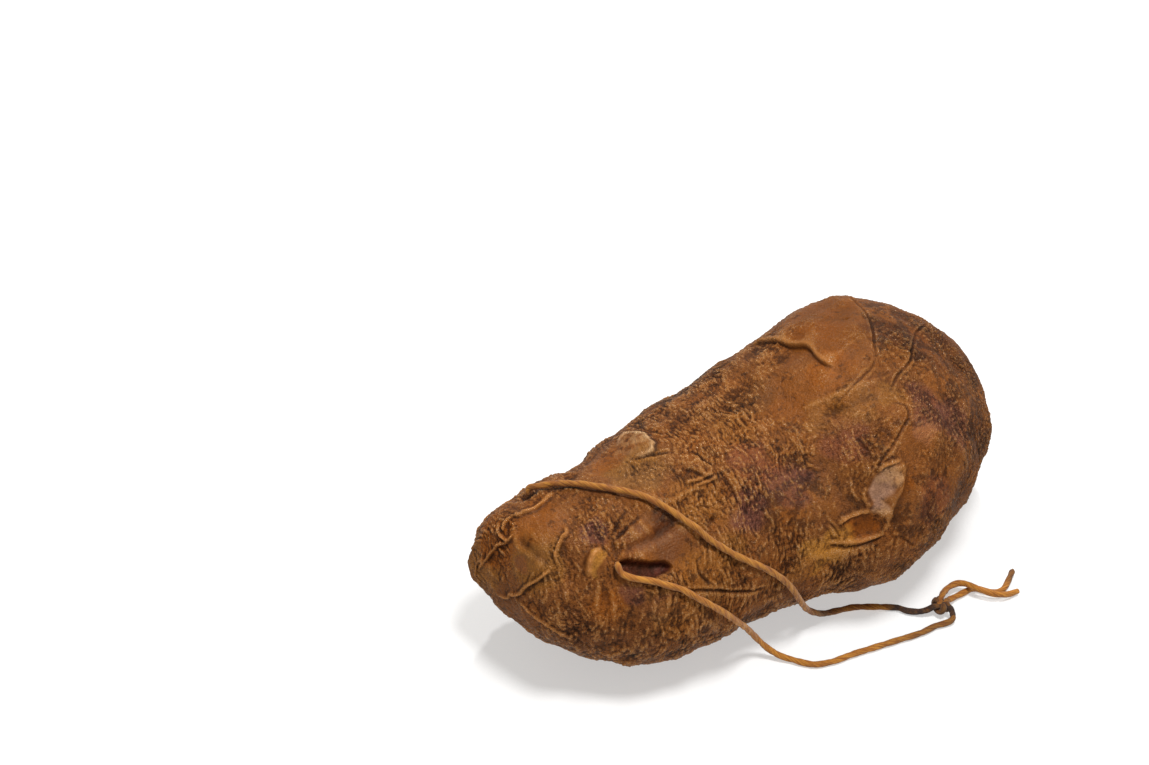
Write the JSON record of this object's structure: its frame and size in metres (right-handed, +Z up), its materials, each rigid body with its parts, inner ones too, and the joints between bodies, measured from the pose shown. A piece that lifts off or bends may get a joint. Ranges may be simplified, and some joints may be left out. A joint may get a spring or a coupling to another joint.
{
  "type": "salpicao sausage",
  "caption": "Whole smoked salpicao sausage in a wrinkled brown casing, lying on its side, with its knotted hanging loop of twine.",
  "frame": {"origin": "middle of the sausage's footprint, on the surface it lies on, measured without the twine", "axes": "+X along the sausage from its pinched tip to its rounded head, -Y towards the shown side with the slit and the knot, +Z up"},
  "size_m": [0.2086, 0.1213, 0.0858],
  "materials": {
    "casing": "semi-gloss, wrinkled and smoked dark in mottles",
    "twine": "matt twisted twine, stained by the smoke",
    "knot": "matt twisted twine, stained dark"
  },
  "bodies": {
    "root": {"sausage": "casing", "twine_front": "twine", "twine_back": "twine", "tail_long": "twine", "tail_short": "twine", "knot": "knot"}
  },
  "joints": []
}
